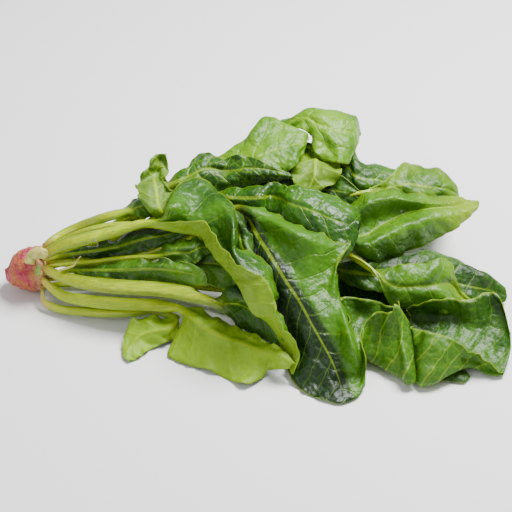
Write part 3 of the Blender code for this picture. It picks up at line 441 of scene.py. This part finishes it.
# ---------------------------------------------------------------------------------------------
# Young and short leaves between the stalks, crumpled, and the one behind the lower front
# stalk. Three of them are given the darkest greens of the bunch, as painted shade between the stalks.
# Painted shade: these near-black greens stand for the shade that falls between the stalks.
inner_shaded_finish = leaf_finish("inner_shaded_leaves_skin", deep=rgb(0.006, 0.028, 0.003), light=rgb(0.035, 0.11, 0.008),
                           gloss=0.44, veins=0.2, net=0.1)
young_finish = leaf_finish("young_leaves_skin", deep=rgb(0.015, 0.06, 0.006), light=rgb(0.08, 0.19, 0.015),
                           gloss=0.47, veins=0.2, net=0.1)
for name, finish, slot, seed in (("rolled_leaf", inner_shaded_finish, "dark_leaf", 21),
                                 ("short_dark_leaf", young_finish, "leaf", 22),
                                 ("young_upper_leaf", inner_shaded_finish, "dark_leaf", 23),
                                 ("young_light_leaf", young_finish, "light_leaf", 24),
                                 ("young_lower_leaf", young_finish, "leaf", 25),
                                 ("middle_front_leaf", inner_shaded_finish, "leaf", 26)):
    draw_leaf(name, finish, seed, quilt=0.6, crumples=0.5, frill=0.7)

# ---------------------------------------------------------------------------------------------
# Two leaves at the lower left, turned over on the table, with their matt light undersides up.
# They are the outermost leaves of the plant and the lightest.
lower_finish = leaf_finish("turned_leaves_skin", deep=rgb(0.05, 0.14, 0.015), light=rgb(0.15, 0.29, 0.03),
                           under=rgb(0.26, 0.42, 0.06), gloss=0.47, veins=0.2, net=0.1)
draw_leaf("front_low_leaf", lower_finish, seed=27, quilt=0.8, frill=0.8)
draw_leaf("bottom_lobe_leaf", lower_finish, seed=28, quilt=0.8, frill=1.0)

# ---------------------------------------------------------------------------------------------
# Root crown. The short pink-red lump from which every stalk grows, cut from the root at its left
# end. Its ridges are the bases of the stalks. It is turned up from rings and left rough.
crown_low, crown_high = (np.array(corner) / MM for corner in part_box("root_crown"))
crown_axis = (crown_low + crown_high)[1:] / 2
CROWN_RADIUS = 13.6
CROWN_AROUND = 96
CROWN_RINGS = 44
OVER_STALKS = 3.5        # how far the drawn crown closes over the feet of the stalks, in mm
CROWN_MAGENTA = rgb(0.42, 0.03, 0.07)
CROWN_BROWN = rgb(0.42, 0.12, 0.03)
CROWN_FLECK = rgb(0.60, 0.32, 0.16)
CROWN_SOIL = rgb(0.12, 0.03, 0.015)
CROWN_CUT = rgb(0.48, 0.03, 0.10)
CROWN_CREAM = rgb(0.50, 0.36, 0.12)


def crown_rings():
    """Rings of the crown from its cut end to the stalks: a blunt lump with ridges, grooves and bands."""
    turn = np.linspace(0, 2 * math.pi, CROWN_AROUND, endpoint=False)[None]
    t = np.linspace(0, 1, CROWN_RINGS)[:, None]
    profile = CROWN_RADIUS * np.interp(t, (0, .01, .06, .2, .35, .55, .75, .88, .95, 1),
                                       (.05, .44, .58, .76, .88, .97, 1.0, .97, .86, .70))
    ridge = (0.5 * np.sin(5 * turn + 0.6) + 0.35 * np.sin(9 * turn + 1.7)) * np.minimum(1, 3 * t)
    groove = -0.9 * np.clip(np.cos(7 * turn + 0.8), 0, 1)**6 * np.clip(t * 2 - 0.4, 0, 1)
    band = 0.35 * np.sin(t * 34 + 0.7) * np.sin(3 * turn + 5 * t)
    around = np.linspace(0, 1, CROWN_AROUND)
    rough = 0.35 * crumple(np.random.default_rng(5), 14, 22, around, t[:, 0])
    rough = rough * np.sin(math.pi * around)**0.3
    size = profile + (ridge + groove + band + rough) * np.minimum(1, 6 * t)
    x = crown_low[0] + t * (crown_high[0] - crown_low[0] + OVER_STALKS)
    x = x + (1 - t) * (2.2 * np.cos(turn) + 1.6)
    y = crown_axis[0] + size * np.sin(turn)
    z = np.maximum(crown_axis[1] + size * np.cos(turn), 0.2)
    return np.stack([x, y, z], axis=-1)


def crown_mesh():
    rings = crown_rings()
    index = np.arange(CROWN_RINGS * CROWN_AROUND).reshape(CROWN_RINGS, CROWN_AROUND)
    beside = np.roll(index, -1, axis=1)
    sides = np.stack([index[:-1], index[1:], beside[1:], beside[:-1]], axis=-1).reshape(-1, 4)
    mesh = bpy.data.meshes.new("root_crown_skin")
    faces = sides.tolist() + [index[0].tolist(), index[-1][::-1].tolist()]
    mesh.from_pydata((rings.reshape(-1, 3) * MM).tolist(), [], faces)
    return mesh


crown_finish, shader, link, place = start_finish("root_crown_skin")
shader.inputs["Coat Weight"].default_value = 0.05
shader.inputs["Coat Roughness"].default_value = 0.2
patch = place.noise(7, 4)
fleck = place.noise(1.3, 3)
x = link.node("SeparateXYZ", {}, {0: place})
cut_end, stalk_end = crown_low[0] * MM, crown_high[0] * MM
colour = link.mix(patch.rise(0.40, 0.60), CROWN_MAGENTA, CROWN_BROWN)
colour = link.mix(fleck.rise(0.55, 0.75) * 0.7, colour, CROWN_FLECK)
colour = link.mix((1 - fleck.rise(0.28, 0.42)) * 0.6, colour, CROWN_SOIL)
colour = link.mix((1 - x.rise(cut_end, cut_end + 0.008)) * 0.6, colour, CROWN_CUT)
colour = link.mix(x.rise(stalk_end - 0.008, stalk_end + 0.003) * 0.7, colour, CROWN_CREAM)
finish_with(shader, link, colour, 0.45 + fleck * 0.3, patch * 1.6 + fleck * 1.2)
join_bunch("root_crown", crown_mesh(), crown_finish)

# ---------------------------------------------------------------------------------------------
# Small pieces at the crown: the cream stub of a stalk that was cut off, a green sprout, and a dry
# tendril that lies over the stalks. Each is a thin tube that follows its CAD solid.
WELD = 0.02              # CAD corners nearer than this, in mm, are one point of the drawn piece


def small_finish(name, dark, light, roughness):
    """Streaked skin of a thin dry or green stem."""
    made, shader, link, place = start_finish(name)
    stretched = link.node("VectorMath", {"operation": "MULTIPLY"}, {0: place, 1: (0.3, 1.0, 1.0)})
    streak = stretched.noise(0.9, 3)
    colour = link.mix(streak.rise(0.35, 0.65), dark, light)
    finish_with(shader, link, colour, roughness + streak * 0.2, streak * 0.3)
    return made


cream_finish = small_finish("dry_stem_skin", rgb(0.38, 0.36, 0.07), rgb(0.62, 0.58, 0.18), 0.45)
sprout_finish = small_finish("green_sprout_skin", rgb(0.10, 0.22, 0.03), rgb(0.25, 0.40, 0.08), 0.35)
for name, finish, slot in (("cut_stub", cream_finish, "cream"), ("green_sprout", sprout_finish, "leaf"),
                           ("dry_tendril", cream_finish, "cream")):
    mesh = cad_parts[name].data.copy()
    mesh.name = name + "_skin"
    piece = join_bunch(name, mesh, finish)
    piece.modifiers.new("weld", "WELD").merge_threshold = WELD * MM
    round_off = piece.modifiers.new("round_off", "SUBSURF")
    round_off.levels = 2
    round_off.render_levels = 2

# ---------------------------------------------------------------------------------------------
# Pale table, soft studio light and the camera. A large matt white sheet lies under the bunch, one
# broad lamp hangs high at the right and a weaker one stands at the front left.
TABLE = 3.0              # half the side of the table, in m
floor_mesh = bpy.data.meshes.new("table")
corners = [(-TABLE, -TABLE, 0), (TABLE, -TABLE, 0), (TABLE, TABLE, 0), (-TABLE, TABLE, 0)]
floor_mesh.from_pydata(corners, [], [(0, 1, 2, 3)])
floor_finish, shader, link, place = start_finish("table_white")
shader.inputs["Base Color"].default_value = rgb(0.9, 0.9, 0.9)
shader.inputs["Roughness"].default_value = 0.6
floor_mesh.materials.append(floor_finish)
floor = bpy.data.objects.new("table", floor_mesh)
bpy.context.collection.objects.link(floor)

world = bpy.data.worlds.new("studio")
bpy.context.scene.world = world
world.use_nodes = True
surroundings = world.node_tree.nodes["Background"]
surroundings.inputs["Color"].default_value = rgb(1.0, 1.0, 1.0)
surroundings.inputs["Strength"].default_value = 0.45


def soft_light(name, place, size, power):
    """Round lamp of the given size in m, turned to the middle of the table."""
    lamp = bpy.data.lights.new(name, "AREA")
    lamp.shape = "DISK"
    lamp.size = size
    lamp.energy = power
    holder = bpy.data.objects.new(name, lamp)
    bpy.context.collection.objects.link(holder)
    holder.location = place
    x, y, z = place
    holder.rotation_euler = (math.atan2(math.hypot(x, y), z), 0, math.atan2(x, -y))


soft_light("key_light", (0.35, 0.25, 0.9), 0.5, 26)
soft_light("fill_light", (-0.7, -0.7, 0.6), 0.8, 3)

LEAN = math.radians(35)  # how steeply the camera looks down
DISTANCE = 1.0           # from the camera to the place it looks at, in m
AIM = (0.00042, -0.01162, 0.0317)
camera = bpy.data.cameras.new("camera")
camera.sensor_width = 36.0
camera.lens = 119.04
eye = bpy.data.objects.new("camera", camera)
bpy.context.collection.objects.link(eye)
eye.location = (AIM[0], AIM[1] - DISTANCE * math.cos(LEAN), AIM[2] + DISTANCE * math.sin(LEAN))
eye.rotation_euler = (math.pi / 2 - LEAN, 0, 0)
bpy.context.scene.camera = eye
